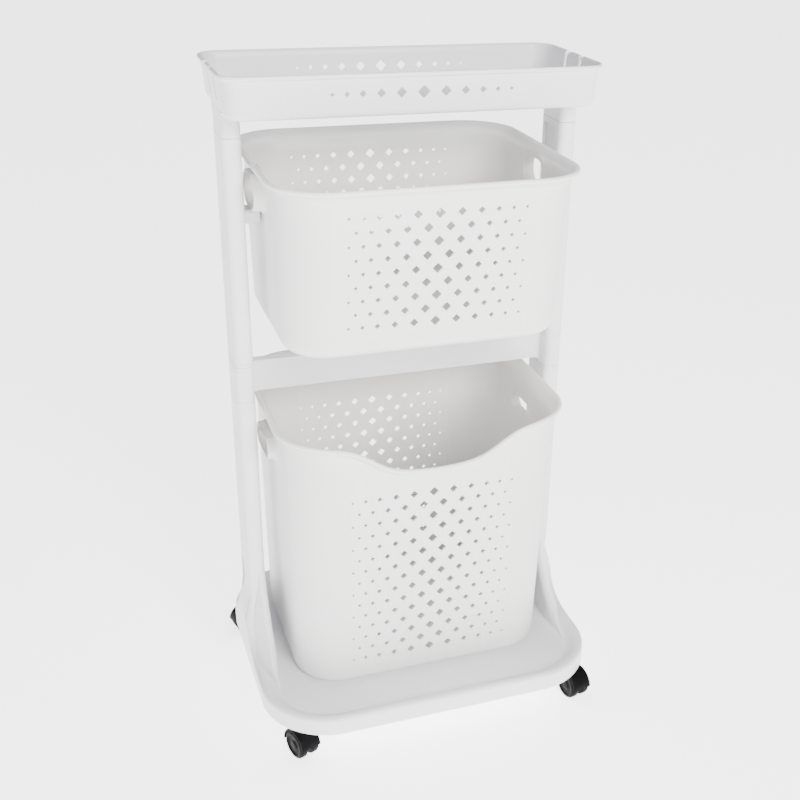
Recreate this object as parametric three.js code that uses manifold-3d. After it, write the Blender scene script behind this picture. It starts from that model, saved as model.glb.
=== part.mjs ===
// Laundry sorter on wheels: a white moulded-plastic stand with a shallow top tray, a hanging middle
// basket, a tall lower basket and four black twin-wheel casters.
// Millimetres, +X to the right, +Y to the rear, +Z up, floor at z = 0.
import * as THREE from 'three';
import { mergeVertices } from 'three/addons/utils/BufferGeometryUtils.js';
import Module from 'manifold-3d';

const wasm = await Module();
wasm.setup();

// ---------------------------------------------------------------- driving dimensions
const FIT_GAP = 0.3;            // gap between two pieces that are pushed together
const COLUMN_Y = 33.5;          // centre line of both columns
const BASKET_Y = 27.5;          // centre line of both baskets

const POST = { x: 218, halfX: 12, halfY: 32, radius: 9, wall: 2.5 };
const SPIGOT = { depth: 20, halfX: POST.halfX - POST.wall - FIT_GAP, halfY: POST.halfY - POST.wall - FIT_GAP };
const SEAM = { base: 196, railBottom: 455.5, railTop: 504.5, tray: 798.5 };

const BASE = { halfX: 238, front: -195.5, rear: 192, frontRadius: 95, rearRadius: 100, bottom: 46 };
BASE.y = (BASE.front + BASE.rear) / 2;
BASE.halfY = (BASE.rear - BASE.front) / 2;

const TRAY = { halfX: 238, halfY: 96.5, radius: 30, top: 880, underside: 828.5, wall: 2.5 };

const MIDDLE = {
  rimX: 197.5, rimY: 167.5, rimRadius: 64, rim: 766,
  wallTopX: 183.5, wallTopY: 153.5, wallBottomX: 182, wallBottomY: 138,
  bottom: 549, fillet: 17, thickness: 2.5,
  opening: { z: 730, halfLength: 32, halfHeight: 19 },
};
const LOWER = {
  rimX: 198, rimY: 164, rimRadius: 70, rim: 443.5,
  wallTopX: 185, wallTopY: 151, wallBottomX: 181, wallBottomY: 140,
  bottom: 60.3, fillet: 12, thickness: 2.5,
  opening: { z: 385, halfLength: 35, halfHeight: 12 },
  scoop: { depth: 48, halfWidth: 87, softness: 17 },
};

const CASTER = {
  wheelRadius: 20, wheelInner: 3.6, wheelOuter: 14.6, trail: 17,
  axleRadius: 2.5, stemRadius: 4, hoodRadius: 23.5, top: 45.4,
};
const CASTERS = {
  front_left: { x: -203, y: -147, axleAngle: 21 },
  front_right: { x: 203, y: -147, axleAngle: 12 },
  rear_left: { x: -200, y: 138.5, axleAngle: -77 },
  rear_right: { x: 200, y: 138.5, axleAngle: -62 },
};

// ---------------------------------------------------------------- materials
const material = (name, color, roughness) => {
  const made = new THREE.MeshStandardMaterial({ color, roughness });
  made.name = name;
  return made;
};
const FRAME_WHITE = () => material('frame_white', 0xf1f1f4, 0.42);
const BASKET_WHITE = () => material('basket_white', 0xf5f4f2, 0.45);
const HOOD_BLACK = () => material('hood_black', 0x161617, 0.4);
const WHEEL_BLACK = () => material('wheel_black', 0x1b1b1c, 0.55);
const STEEL = () => material('steel', 0xb4b6ba, 0.35);

// ---------------------------------------------------------------- solids
const lerp = (a, b, t) => a + (b - a) * t;

// Counter-clockwise outline of a rounded rectangle with its own front and rear corner radius.
function roundedOutline({ x = 0, y = 0, halfX, halfY, frontRadius, rearRadius, steps = 6, frontSteps = 1 }) {
  const front = Math.min(frontRadius, halfX, halfY);
  const rear = Math.min(rearRadius ?? frontRadius, halfX, halfY);
  const corners = [
    { cx: halfX - front, cy: -halfY + front, r: front, from: -90 },
    { cx: halfX - rear, cy: halfY - rear, r: rear, from: 0 },
    { cx: -halfX + rear, cy: halfY - rear, r: rear, from: 90 },
    { cx: -halfX + front, cy: -halfY + front, r: front, from: 180 },
  ];
  const points = [];
  for (const corner of corners) {
    for (let i = 0; i <= steps; i += 1) {
      const angle = THREE.MathUtils.degToRad(corner.from + (90 * i) / steps);
      points.push([x + corner.cx + corner.r * Math.cos(angle), y + corner.cy + corner.r * Math.sin(angle)]);
    }
  }
  const first = points[0];
  const last = points[points.length - 1];
  for (let i = 1; i < frontSteps; i += 1) {
    points.push([lerp(last[0], first[0], i / frontSteps), lerp(last[1], first[1], i / frontSteps)]);
  }
  return points;
}

// Closed solid through a stack of rings with the same number of points; both ends are capped flat.
function loft(rings) {
  const count = rings[0].length;
  const positions = [];
  const triangles = [];
  for (const ring of rings) {
    for (const point of ring) positions.push(...point);
  }
  for (let k = 0; k + 1 < rings.length; k += 1) {
    for (let j = 0; j < count; j += 1) {
      const a = k * count + j;
      const b = k * count + ((j + 1) % count);
      triangles.push(a, b, b + count, a, b + count, a + count);
    }
  }
  const cap = (ring, start, flip) => {
    const contour = ring.map((point) => new THREE.Vector2(point[0], point[1]));
    for (const [a, b, c] of THREE.ShapeUtils.triangulateShape(contour, [])) {
      if (flip) triangles.push(start + c, start + b, start + a);
      else triangles.push(start + a, start + b, start + c);
    }
  };
  cap(rings[0], 0, true);
  cap(rings[rings.length - 1], (rings.length - 1) * count, false);
  return new wasm.Manifold(new wasm.Mesh({
    numProp: 3,
    vertProperties: new Float32Array(positions),
    triVerts: new Uint32Array(triangles),
  }));
}

// A three.js geometry as a solid, ready to be joined or cut.
function solid(geometry) {
  geometry.deleteAttribute('normal');
  geometry.deleteAttribute('uv');
  const merged = mergeVertices(geometry, 1e-4);
  return new wasm.Manifold(new wasm.Mesh({
    numProp: 3,
    vertProperties: new Float32Array(merged.attributes.position.array),
    triVerts: new Uint32Array(merged.index.array),
  }));
}

function mesh(name, body, surface) {
  const result = body.getMesh();
  const geometry = new THREE.BufferGeometry();
  geometry.setAttribute('position', new THREE.BufferAttribute(new Float32Array(result.vertProperties), 3));
  geometry.setIndex(new THREE.BufferAttribute(new Uint32Array(result.triVerts), 1));
  geometry.computeVertexNormals();
  const made = new THREE.Mesh(geometry, surface);
  made.name = name;
  return made;
}

const level = (outline, z) => outline.map(([x, y]) => [x, y, z]);

const boxSolid = (low, high) => {
  const geometry = new THREE.BoxGeometry(high[0] - low[0], high[1] - low[1], high[2] - low[2]);
  geometry.translate((low[0] + high[0]) / 2, (low[1] + high[1]) / 2, (low[2] + high[2]) / 2);
  return solid(geometry);
};

const uprightCylinder = (x, y, radius, low, high, segments = 24) => {
  const geometry = new THREE.CylinderGeometry(radius, radius, high - low, segments);
  geometry.rotateX(Math.PI / 2);
  geometry.translate(x, y, (low + high) / 2);
  return solid(geometry);
};

// Prism along X with a closed outline drawn in Y and Z.
function prismAlongX(outline, low, high) {
  const shape = new THREE.Shape(outline.map(([y, z]) => new THREE.Vector2(y, z)));
  const geometry = new THREE.ExtrudeGeometry(shape, { depth: high - low, bevelEnabled: false });
  geometry.applyMatrix4(new THREE.Matrix4().makeBasis(
    new THREE.Vector3(0, 1, 0), new THREE.Vector3(0, 0, 1), new THREE.Vector3(1, 0, 0)));
  geometry.translate(low, 0, 0);
  return solid(geometry);
}

const slotOutline = (y, { z, halfLength, halfHeight }, grow = 0) =>
  roundedOutline({
    x: y, y: z, halfX: halfLength + grow, halfY: halfHeight + grow,
    frontRadius: Math.min(halfHeight, 19) + grow, steps: 5,
  });

// ---------------------------------------------------------------- columns
function columnBlock(side, low, high, shrink = 0) {
  const outline = roundedOutline({
    x: side * POST.x, y: COLUMN_Y, halfX: POST.halfX - shrink, halfY: POST.halfY - shrink,
    frontRadius: POST.radius - shrink, steps: 3,
  });
  return loft([level(outline, low), level(outline, high)]);
}

const spigotBlock = (side, low, high) => columnBlock(side, low, high, POST.wall + FIT_GAP);

function post(side, low, high) {
  return columnBlock(side, low, high).subtract(columnBlock(side, low - 1, high + 1, POST.wall));
}

// Ledge on the inner face of an upper post that carries the grip collar of the middle basket.
function hangerLedge(side) {
  const inner = side * (POST.x - POST.halfX + 1);
  const tip = side * 186;
  const top = MIDDLE.opening.z - MIDDLE.opening.halfHeight - 4 - FIT_GAP;
  return prismAlongX(
    [[COLUMN_Y - 14, top - 18], [COLUMN_Y + 14, top - 18], [COLUMN_Y + 14, top], [COLUMN_Y - 14, top]],
    Math.min(inner, tip), Math.max(inner, tip));
}

const upperPost = (side) =>
  post(side, SEAM.railTop + FIT_GAP, SEAM.tray - FIT_GAP).add(hangerLedge(side));

const lowerPost = (side) => post(side, SEAM.base + FIT_GAP, SEAM.railBottom - FIT_GAP);

// ---------------------------------------------------------------- middle rail with its two post sockets
function middleRail() {
  const reach = POST.x - POST.halfX + 1;
  let rail = boxSolid([-reach, COLUMN_Y - 10, 461.5], [reach, COLUMN_Y + 4, SEAM.railTop]);
  for (const side of [-1, 1]) {
    rail = rail.add(columnBlock(side, SEAM.railBottom, SEAM.railTop));
    rail = rail.add(spigotBlock(side, SEAM.railBottom - SPIGOT.depth, SEAM.railTop + SPIGOT.depth));
  }
  return rail;
}

// ---------------------------------------------------------------- top tray
function trayRing(inset, z) {
  return level(roundedOutline({
    y: COLUMN_Y, halfX: TRAY.halfX - inset, halfY: TRAY.halfY - inset,
    frontRadius: TRAY.radius - inset, steps: 5,
  }), z);
}

// Diamonds in a row, largest and widest apart in the middle of the wall.
const DIAMOND_OFFSETS = [0, 27.4, 52, 74, 93, 110.4];
const diamondSize = (x) => lerp(7.2, 2.1, Math.abs(x) / 110.4);

function diamondRow(z, y, depth) {
  let row = null;
  for (const offset of DIAMOND_OFFSETS) {
    for (const side of offset === 0 ? [1] : [-1, 1]) {
      const half = diamondSize(offset);
      const geometry = new THREE.CylinderGeometry(half, half, depth, 4);
      geometry.translate(side * offset, y, z);
      row = row ? row.add(solid(geometry)) : solid(geometry);
    }
  }
  return row;
}

function topTray() {
  const floor = TRAY.underside + TRAY.wall;
  let tray = loft([
    trayRing(12.5, TRAY.underside),
    trayRing(7.8, TRAY.underside + 5),
    trayRing(4, TRAY.top - 7),
    trayRing(0, TRAY.top - 4.5),
    trayRing(1.2, TRAY.top),
    trayRing(4, TRAY.top - 0.8),
    trayRing(6.5, TRAY.top - 7),
    trayRing(10.4, floor + 4.5),
    trayRing(14.5, floor),
  ]);
  for (const side of [-1, 1]) {
    tray = tray.add(columnBlock(side, SEAM.tray, floor));
    tray = tray.add(spigotBlock(side, SEAM.tray - SPIGOT.depth, SEAM.tray + 1));
    for (const offset of [-21.5, 21.5]) {
      const x = side * (TRAY.halfX - 8);
      tray = tray.subtract(boxSolid(
        [x - 12, COLUMN_Y + offset - 3, TRAY.top - 37], [x + 12, COLUMN_Y + offset + 3, TRAY.top + 5]));
    }
  }
  return tray.subtract(diamondRow(856.3, COLUMN_Y, 2 * TRAY.halfY + 20));
}

// ---------------------------------------------------------------- baskets
// Height of the rim above its lowest level; a scoop dips along the front wall.
function rimHeight(spec, x, y) {
  if (!spec.scoop || y > BASKET_Y - spec.wallBottomY + 30) return spec.rim;
  return spec.rim - spec.scoop.depth / (1 + Math.exp((Math.abs(x) - spec.scoop.halfWidth) / spec.scoop.softness));
}

function basketOutline(spec, halfX, halfY, inset) {
  return roundedOutline({
    y: BASKET_Y, halfX: halfX - inset, halfY: halfY - inset,
    frontRadius: spec.rimRadius - (spec.rimX - halfX) * 0.4 - inset, steps: 5, frontSteps: spec.scoop ? 14 : 1,
  });
}

// Outline of the wall, from its top (t = 0) to its bottom (t = 1).
const wallOutline = (spec, inset, t) => basketOutline(
  spec, lerp(spec.wallTopX, spec.wallBottomX, t), lerp(spec.wallTopY, spec.wallBottomY, t), inset);

// A tapered shell: outside bottom, outer wall, flared rim, inner wall, inside floor.
function basket(spec) {
  const shoulder = 12;
  const wallTop = (x, y) => rimHeight(spec, x, y) - shoulder;
  const wallRing = (inset, t, lift = 0) =>
    wallOutline(spec, inset, t).map(([x, y]) =>
      [x, y, lerp(wallTop(x, y), spec.bottom + spec.fillet, t) + lift]);
  const rimRing = (inset, below) =>
    basketOutline(spec, spec.rimX, spec.rimY, inset).map(([x, y]) => [x, y, rimHeight(spec, x, y) - below]);
  const bottomRing = (inset, up) => level(wallOutline(spec, inset, 1), spec.bottom + up);
  const rings = [];
  for (const degrees of [90, 45]) {
    const angle = THREE.MathUtils.degToRad(degrees);
    rings.push(bottomRing(spec.fillet * (1 - Math.cos(angle)), spec.fillet * (1 - Math.sin(angle))));
  }
  rings.push(wallRing(0, 1), wallRing(0, 0));
  rings.push(rimRing(3.5, 7), rimRing(0, 5), rimRing(1.2, 0), rimRing(4, 0.6));
  rings.push(wallRing(spec.thickness, 0, 1.5), wallRing(spec.thickness, 1));
  for (const degrees of [45, 90]) {
    const angle = THREE.MathUtils.degToRad(degrees);
    const radius = spec.fillet - spec.thickness;
    rings.push(bottomRing(
      spec.thickness + radius * (1 - Math.cos(angle)), spec.thickness + radius * (1 - Math.sin(angle))));
  }
  return loft(rings);
}

// A basket with a grip opening in each side wall; a collar stands out round the opening.
function basketWithGrips(spec) {
  let body = basket(spec);
  for (const side of [-1, 1]) {
    const inner = side * (spec.wallTopX - 4);
    const outer = side * (spec.wallTopX + 9);
    body = body.add(prismAlongX(
      slotOutline(BASKET_Y, spec.opening, 4), Math.min(inner, outer), Math.max(inner, outer)));
  }
  return body.subtract(prismAlongX(slotOutline(BASKET_Y, spec.opening), -spec.rimX - 5, spec.rimX + 5));
}

// ---------------------------------------------------------------- base
function baseOutline(inset) {
  return roundedOutline({
    y: BASE.y, halfX: BASE.halfX - inset, halfY: BASE.halfY - inset,
    frontRadius: BASE.frontRadius - inset, rearRadius: BASE.rearRadius - inset, steps: 6,
  });
}

// Dished floor inside a raised rim, with a skirt hanging down to the underside.
function baseTub() {
  const top = [[0, 46], [0, 67], [2, 71], [7, 72], [25, 60]];
  const under = [[24, 57], [7.5, 68.4], [3, 65], [3, 46]];
  const closed = [...under, ...top];
  return loft(closed.map(([inset, z]) => level(baseOutline(inset), z)));
}

// Outline of a wing at a height: the front edge sweeps forward and the rear edge backward lower down.
const WING_LEVELS = [
  { z: 58.5, frontIn: -95, frontOut: -76, rear: 125, outer: 238 },
  { z: 72, frontIn: -85, frontOut: -66, rear: 115, outer: 238 },
  { z: 88, frontIn: -66, frontOut: -47, rear: 94, outer: 238 },
  { z: 112, frontIn: -43, frontOut: -25, rear: 75.5, outer: 237.4 },
  { z: 136, frontIn: -25, frontOut: -10, rear: 66.5, outer: 234.4 },
  { z: 158, frontIn: -11, frontOut: -2, rear: 65.7, outer: 230.4 },
  { z: SEAM.base, frontIn: 1.5, frontOut: 1.5, rear: 65.5, outer: 230 },
];

function wingRing(side, { z, frontIn, frontOut, rear, outer }, shrink) {
  const inner = POST.x - POST.halfX + shrink;
  const edge = outer - shrink;
  const radius = POST.radius - shrink;
  const corners = [
    { x: inner + radius, y: frontIn + shrink + radius, from: 180 },
    { x: edge - radius, y: frontOut + shrink + radius, from: 270 },
    { x: edge - radius, y: rear - shrink - radius, from: 0 },
    { x: inner + radius, y: rear - shrink - radius, from: 90 },
  ];
  const points = [];
  for (const corner of corners) {
    for (let i = 0; i <= 2; i += 1) {
      const angle = THREE.MathUtils.degToRad(corner.from + 45 * i);
      points.push([side * (corner.x + radius * Math.cos(angle)), corner.y + radius * Math.sin(angle), z]);
    }
  }
  return side > 0 ? points : points.reverse();
}

function wing(side) {
  return loft(WING_LEVELS.map((row) => wingRing(side, row, 0)));
}

function wingHollow(side) {
  const rows = WING_LEVELS.filter((row) => row.z < 180);
  const lowest = { ...rows[0], z: 40 };
  return loft([lowest, ...rows.slice(1)].map((row) => wingRing(side, row, 3)));
}

function baseTray() {
  const plan = loft([level(baseOutline(0), 40), level(baseOutline(0), 230)]);
  const insidePlan = loft([level(baseOutline(3), 30), level(baseOutline(3), 230)]);
  let base = baseTub();
  for (const side of [-1, 1]) {
    base = base.add(wing(side).intersect(plan));
    base = base.add(spigotBlock(side, SEAM.base - 4, SEAM.base + SPIGOT.depth));
  }
  for (const side of [-1, 1]) base = base.subtract(wingHollow(side).intersect(insidePlan));
  for (const caster of Object.values(CASTERS)) {
    base = base.add(uprightCylinder(caster.x, caster.y, 9, BASE.bottom + 0.2, 58));
  }
  for (const caster of Object.values(CASTERS)) {
    base = base.subtract(uprightCylinder(caster.x, caster.y, CASTER.stemRadius + FIT_GAP, 40, 56.6));
  }
  return base;
}

// ---------------------------------------------------------------- casters
// Built with the swivel axis on Z and the axle along X, then turned to its resting direction.
const placed = (body, { x, y, axleAngle }) => body.rotate([0, 0, axleAngle]).translate([x, y, 0]);

const axleCylinder = (radius, low, high, segments = 24) => {
  const geometry = new THREE.CylinderGeometry(radius, radius, high - low, segments);
  geometry.rotateZ(Math.PI / 2);
  geometry.translate((low + high) / 2, -CASTER.trail, CASTER.wheelRadius);
  return solid(geometry);
};

function casterStem() {
  const pin = uprightCylinder(0, 0, CASTER.stemRadius, 35, 56.2);
  return pin.add(uprightCylinder(0, 0, 6.5, CASTER.top + 0.2, CASTER.top + 0.6));
}

// Curved cover over both wheels with a web between them and a neck around the stem.
function casterHood() {
  const half = CASTER.wheelOuter;
  const cover = axleCylinder(CASTER.hoodRadius, -half, half, 32)
    .intersect(boxSolid([-half - 1, -CASTER.trail - 30, CASTER.wheelRadius], [half + 1, 20, CASTER.top]));
  let hood = cover.add(axleCylinder(12, -3, 3)).add(uprightCylinder(0, 0, 9, 30, CASTER.top));
  for (const side of [-1, 1]) {
    const low = side > 0 ? 3 : -half - 2;
    hood = hood.subtract(axleCylinder(CASTER.wheelRadius + 1.2, low, low + half - 1, 32));
  }
  hood = hood.subtract(axleCylinder(CASTER.axleRadius + FIT_GAP, -5, 5));
  return hood.subtract(uprightCylinder(0, 0, CASTER.stemRadius + 0.09, 34.5, CASTER.top + 1));
}

const casterAxle = () => axleCylinder(CASTER.axleRadius, 2.6 - CASTER.wheelOuter, CASTER.wheelOuter - 2.6);

// Wheel with a rounded tread, a dished outer face and a blind bore for the axle.
function casterWheel(side) {
  const { wheelRadius: r, wheelInner: low, wheelOuter: high } = CASTER;
  const bore = CASTER.axleRadius + 0.09;
  const boreEnd = high - 2.2;
  const profile = [
    [bore, low], [r - 1.4, low], [r, low + 2], [r, high - 2.5], [r - 2, high], [r - 5.5, high],
    [r - 6.5, high - 1.2], [0, high - 1.2], [0, boreEnd], [bore, boreEnd], [bore, low],
  ].map(([radius, along]) => new THREE.Vector2(radius, along));
  const geometry = new THREE.LatheGeometry(profile, 24);
  geometry.rotateZ(-Math.PI / 2);
  if (side < 0) geometry.rotateZ(Math.PI);
  geometry.translate(0, -CASTER.trail, CASTER.wheelRadius);
  return solid(geometry);
}

// ---------------------------------------------------------------- assembly
const sorter = new THREE.Group();
sorter.name = 'laundry_sorter';

sorter.add(mesh('base_tray', baseTray(), FRAME_WHITE()));
for (const [side, name] of [[-1, 'left'], [1, 'right']]) {
  sorter.add(mesh(`lower_post_${name}`, lowerPost(side), FRAME_WHITE()));
  sorter.add(mesh(`upper_post_${name}`, upperPost(side), FRAME_WHITE()));
}
sorter.add(mesh('middle_rail', middleRail(), FRAME_WHITE()));
sorter.add(mesh('top_tray', topTray(), FRAME_WHITE()));
sorter.add(mesh('middle_basket', basketWithGrips(MIDDLE), BASKET_WHITE()));
sorter.add(mesh('lower_basket', basketWithGrips(LOWER), BASKET_WHITE()));
for (const [name, caster] of Object.entries(CASTERS)) {
  sorter.add(mesh(`${name}_caster_stem`, placed(casterStem(), caster), STEEL()));
  sorter.add(mesh(`${name}_caster_hood`, placed(casterHood(), caster), HOOD_BLACK()));
  sorter.add(mesh(`${name}_caster_axle`, placed(casterAxle(), caster), STEEL()));
  sorter.add(mesh(`${name}_caster_wheel_a`, placed(casterWheel(-1), caster), WHEEL_BLACK()));
  sorter.add(mesh(`${name}_caster_wheel_b`, placed(casterWheel(1), caster), WHEEL_BLACK()));
}

export default sorter;
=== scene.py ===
"""Looks of the laundry sorter on wheels: white moulded-plastic stand and baskets on black casters.

Lengths in this file are millimetres in the row frame (+X right, +Y rear, +Z up) and become metres
where a mesh is made.
"""

import math

import bpy
import numpy as np
from mathutils import Matrix, Vector


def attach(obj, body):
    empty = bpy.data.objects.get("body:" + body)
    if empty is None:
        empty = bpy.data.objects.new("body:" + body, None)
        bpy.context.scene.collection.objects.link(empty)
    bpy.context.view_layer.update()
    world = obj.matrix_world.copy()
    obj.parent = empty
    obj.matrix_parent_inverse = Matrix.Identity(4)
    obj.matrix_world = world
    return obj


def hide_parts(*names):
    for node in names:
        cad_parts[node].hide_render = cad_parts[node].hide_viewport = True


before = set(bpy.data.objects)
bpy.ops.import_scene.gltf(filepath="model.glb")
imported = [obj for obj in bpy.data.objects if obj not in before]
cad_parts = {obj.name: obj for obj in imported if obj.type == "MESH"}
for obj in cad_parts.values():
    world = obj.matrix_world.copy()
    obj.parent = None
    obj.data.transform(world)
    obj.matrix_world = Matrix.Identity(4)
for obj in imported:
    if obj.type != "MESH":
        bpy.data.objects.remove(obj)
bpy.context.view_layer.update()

MM = 0.001
COLUMN_Y = 33.5
BASKET_Y = 27.5
HOLE_OFFSETS = [0.0, 27.4, 52.0, 74.0, 93.0, 110.4]

POST = {"x": 218.0, "half_x": 12.0, "half_y": 32.0, "radius": 9.0}
SEAM = {"base": 196.0, "rail_bottom": 455.5, "rail_top": 504.5, "tray": 798.5, "gap": 0.3, "groove": 5.0}

TRAY = {
    "half_x": 238.0, "half_y": 96.5, "radius": 30.0, "top": 880.0, "underside": 828.5,
    "hole_z": 856.3, "hole_half": (7.6, 2.2),
}
MIDDLE = {
    "name": "middle_basket", "rim": 766.0, "rim_half": (197.5, 167.5), "rim_radius": 64.0,
    "top_half": (183.5, 153.5), "bottom_half": (182.0, 138.0), "bottom": 549.0, "fillet": 17.0,
    "grip": {"z": 730.0, "half_length": 32.0, "half_height": 19.0, "reach": 14.0},
    "rows": {"count": 9, "top": 729.5, "bottom": 590.6}, "hole_half": (6.6, 2.0), "scoop": None,
}
LOWER = {
    "name": "lower_basket", "rim": 443.5, "rim_half": (198.0, 164.0), "rim_radius": 70.0,
    "top_half": (185.0, 151.0), "bottom_half": (181.0, 140.0), "bottom": 60.3, "fillet": 12.0,
    "grip": {"z": 385.0, "half_length": 35.0, "half_height": 12.0, "reach": 12.0},
    "rows": {"count": 15, "top": 353.0, "bottom": 98.7}, "hole_half": (6.6, 2.0),
    "scoop": {"depth": 48.0, "half_width": 87.0, "softness": 17.0},
}
WALL = 2.5

BASE = {
    "half_x": 238.0, "front": -195.5, "rear": 192.0, "front_radius": 95.0, "rear_radius": 100.0,
    "bottom": 46.0, "rim": 72.0, "floor": 60.0, "underside": 57.0, "rim_width": 26.0, "wall": 3.0,
}
BOSS_RADIUS = 9.0
CASTERS = {
    "front_left": (-203.0, -147.0, 21.0),
    "front_right": (203.0, -147.0, 12.0),
    "rear_left": (-200.0, 138.5, -77.0),
    "rear_right": (200.0, 138.5, -62.0),
}
WHEEL = {"radius": 20.0, "inner": 3.6, "outer": 14.6, "trail": 17.0, "hood": 23.5}


# ---------------------------------------------------------------- small helpers
def lerp(a, b, t):
    """Straight blend from a to b."""
    return a + (b - a) * t


def smooth(t):
    """Soft step from 0 to 1."""
    t = min(max(t, 0.0), 1.0)
    return t * t * (3.0 - 2.0 * t)


def make_object(name, points, faces, sharp=35.0):
    """A mesh object from points in millimetres, smooth shaded with edges above `sharp` degrees kept."""
    mesh = bpy.data.meshes.new(name)
    mesh.from_pydata([(p[0] * MM, p[1] * MM, p[2] * MM) for p in points], [], faces)
    mesh.update()
    obj = bpy.data.objects.new(name, mesh)
    bpy.context.scene.collection.objects.link(obj)
    shade(obj, sharp)
    return obj


def shade(obj, sharp=35.0):
    """Smooth shading, with edges above `sharp` degrees kept."""
    mesh = obj.data
    mesh.polygons.foreach_set("use_smooth", [True] * len(mesh.polygons))
    mesh.set_sharp_from_angle(angle=math.radians(sharp))


def signed_volume(points, faces):
    """Volume inside a closed mesh, negative when its faces point inward."""
    places = np.array([tuple(p) for p in points])
    total = 0.0
    for face in faces:
        corners = places[list(face)]
        total += np.cross(corners[1:-1], corners[2:]).sum(axis=0) @ corners[0]
    return total


def loft(name, rings, sharp=35.0):
    """Skin through rings with the same number of points; ends are capped and faces point outward."""
    count = len(rings[0])
    points = [p for ring in rings for p in ring]
    faces = []
    for k in range(len(rings) - 1):
        low = k * count
        high = low + count
        for j in range(count):
            n = (j + 1) % count
            faces.append((low + j, low + n, high + n, high + j))
    faces.append(tuple(reversed(range(count))))
    faces.append(tuple(range((len(rings) - 1) * count, len(rings) * count)))
    if signed_volume(points, faces) < 0:
        faces = [tuple(reversed(face)) for face in faces]
    return make_object(name, points, faces, sharp)


def join(name, objects):
    """Several meshes as one object, without a boolean."""
    points, faces = [], []
    for obj in objects:
        start = len(points)
        points += [tuple(obj.matrix_world @ v.co) for v in obj.data.vertices]
        faces += [tuple(start + i for i in p.vertices) for p in obj.data.polygons]
        bpy.data.objects.remove(obj)
    mesh = bpy.data.meshes.new(name)
    mesh.from_pydata(points, [], faces)
    joined = bpy.data.objects.new(name, mesh)
    bpy.context.scene.collection.objects.link(joined)
    return joined


def apply_modifiers(obj):
    """The modified shape becomes the object's own mesh."""
    graph = bpy.context.evaluated_depsgraph_get()
    mesh = bpy.data.meshes.new_from_object(obj.evaluated_get(graph))
    obj.modifiers.clear()
    obj.data = mesh


def combine(obj, other, operation):
    """Boolean of two closed meshes, applied at once; the second one is used up."""
    modifier = obj.modifiers.new("cut", "BOOLEAN")
    modifier.operation = operation
    modifier.solver = "MANIFOLD"
    modifier.object = other
    bpy.context.view_layer.update()
    apply_modifiers(obj)
    bpy.data.objects.remove(other)
    return obj


def bevel(obj, width, segments, angle):
    """Rounds the edges above `angle` degrees, by `width` millimetres."""
    modifier = obj.modifiers.new("bevel", "BEVEL")
    modifier.width = width * MM
    modifier.segments = segments
    modifier.limit_method = "ANGLE"
    modifier.angle_limit = math.radians(angle)
    apply_modifiers(obj)
    shade(obj, 40.0)


def even_normals(obj):
    """Flat faces stay flat next to rounded edges."""
    modifier = obj.modifiers.new("normals", "WEIGHTED_NORMAL")
    modifier.keep_sharp = True
    modifier.weight = 80


def rounded_outline(cx, cy, half_x, half_y, radius, steps=8):
    """Counter-clockwise rounded rectangle as (x, y) pairs."""
    radius = max(min(radius, half_x - 0.01, half_y - 0.01), 0.01)
    points = []
    for sx, sy, start in ((1, -1, -90), (1, 1, 0), (-1, 1, 90), (-1, -1, 180)):
        for i in range(steps + 1):
            angle = math.radians(start + 90.0 * i / steps)
            points.append((
                cx + sx * (half_x - radius) + radius * math.cos(angle),
                cy + sy * (half_y - radius) + radius * math.sin(angle),
            ))
    return points


def along_x(outline, x):
    """An outline drawn in (y, z) as a ring in the plane at x."""
    return [(x, y, z) for y, z in outline]


# ---------------------------------------------------------------- tapered shells: tray and baskets
def ring_parameters(front_steps, corner_steps):
    """Points round a rounded rectangle as multipliers, so one list serves every size of it."""
    rows = []
    for sx, sy, start in ((1, -1, -90), (1, 1, 0), (-1, 1, 90), (-1, -1, 180)):
        for i in range(corner_steps + 1):
            angle = math.radians(start + 90.0 * i / corner_steps)
            rows.append((sx, sy, math.cos(angle), math.sin(angle)))
    for i in range(1, front_steps):
        rows.append((lerp(-1.0, 1.0, i / front_steps), -1.0, 0.0, -1.0))
    return rows


def shell_point(row, centre_y, half, radius, offset, z):
    fx, fy, ca, sa = row
    return (
        fx * (half[0] - radius) + (radius + offset) * ca,
        centre_y + fy * (half[1] - radius) + (radius + offset) * sa,
        z,
    )


def basket_half(spec, z):
    """Half width and half depth of the outer wall at a height."""
    low, high = spec["bottom"] + spec["fillet"], spec["rim"] - 12.0
    t = (z - low) / (high - low)
    return (
        lerp(spec["bottom_half"][0], spec["top_half"][0], t),
        lerp(spec["bottom_half"][1], spec["top_half"][1], t),
    )


def rim_level(spec, row):
    """Height of the rim above one point of the outline, lower along the scoop."""
    scoop = spec["scoop"]
    if scoop is None or row[1] > 0:
        return spec["rim"]
    x = shell_point(row, 0.0, spec["top_half"], spec["rim_radius"] - 5.0, 0.0, 0.0)[0]
    share = 1.0 / (1.0 + math.exp((abs(x) - scoop["half_width"]) / scoop["softness"]))
    return spec["rim"] - scoop["depth"] * share


# Distance below the rim and distance out from the wall, from outside round the bead to inside.
RIM_PROFILE = [
    (30.0, 0.0), (16.0, 0.0), (11.5, 0.5), (9.2, 1.8), (7.8, 4.0), (7.0, 6.8), (6.6, 9.4), (6.2, 11.2),
    (5.2, 12.5), (3.6, 13.0), (2.0, 12.8), (0.7, 12.0), (0.0, 10.8), (0.1, 9.4), (0.9, 7.8), (2.6, 5.8),
    (5.2, 3.8), (8.6, 1.8), (13.0, 0.2), (18.0, -1.3), (24.0, -2.2), (30.0, -WALL),
]


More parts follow.
